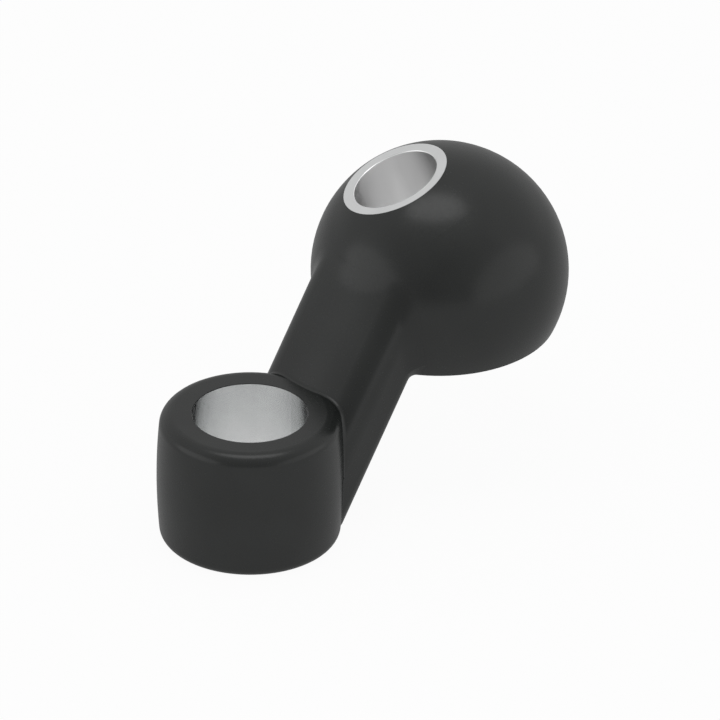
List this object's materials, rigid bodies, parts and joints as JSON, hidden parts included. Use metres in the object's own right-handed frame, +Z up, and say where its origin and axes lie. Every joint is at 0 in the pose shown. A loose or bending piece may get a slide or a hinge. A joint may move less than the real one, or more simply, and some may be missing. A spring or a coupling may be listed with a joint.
{
  "type": "rod end bearing",
  "caption": "Angled rod end: steel-lined boss, sloping moulded arm, and a ball-shaped head with a sealed swivel bearing whose steel sleeve leans at a compound angle.",
  "frame": {"origin": "centre of the boss bore, half way up the boss", "axes": "+Z up along the boss bore; +X from the boss bore towards the centre of the head; +Y completes the right-hand frame"},
  "size_m": [0.0658, 0.0346, 0.0434],
  "materials": {
    "moulding": "satin moulded",
    "boot_rubber": "smooth satin",
    "seal_rubber": "smooth",
    "sleeve_steel": "fine turned",
    "boss_steel": "burnished bore",
    "ball_steel": "lapped",
    "shell_steel": "zinc plated",
    "spring_steel": "phosphated",
    "seat_polymer": "satin",
    "bronze": "fine turned"
  },
  "bodies": {
    "link": {"link_body": "moulding", "boss_bush": "boss_steel", "bearing_shell": "shell_steel", "lower_wiper": "seal_rubber", "lower_seat": "seat_polymer", "upper_seat": "seat_polymer", "preload_spring": "spring_steel", "backing_washer": "shell_steel", "shell_circlip": "spring_steel", "dust_boot": "boot_rubber", "boot_band": "spring_steel"},
    "ball": {"boot_lip_ring": "shell_steel", "swivel_ball": "ball_steel", "ball_liner": "bronze", "lower_thrust_washer": "seat_polymer", "upper_thrust_washer": "seat_polymer"},
    "sleeve": {"pivot_sleeve": "sleeve_steel", "sleeve_clip": "spring_steel", "upper_ring_seal": "seal_rubber", "lower_ring_seal": "seal_rubber"}
  },
  "joints": [
    {"name": "ball_tilt", "type": "hinge", "parent": "link", "child": "ball", "pos_m": [0.036, 0, 0.01679], "axis": [-0.6211, -0.7837, 0], "range_deg": [-7.5, 7.5], "deforming": ["dust_boot"]},
    {"name": "sleeve_spin", "type": "hinge", "parent": "ball", "child": "sleeve", "pos_m": [0.036, 0, 0.01679], "axis": [-0.3024, 0.2397, 0.9225], "continuous": true}
  ]
}
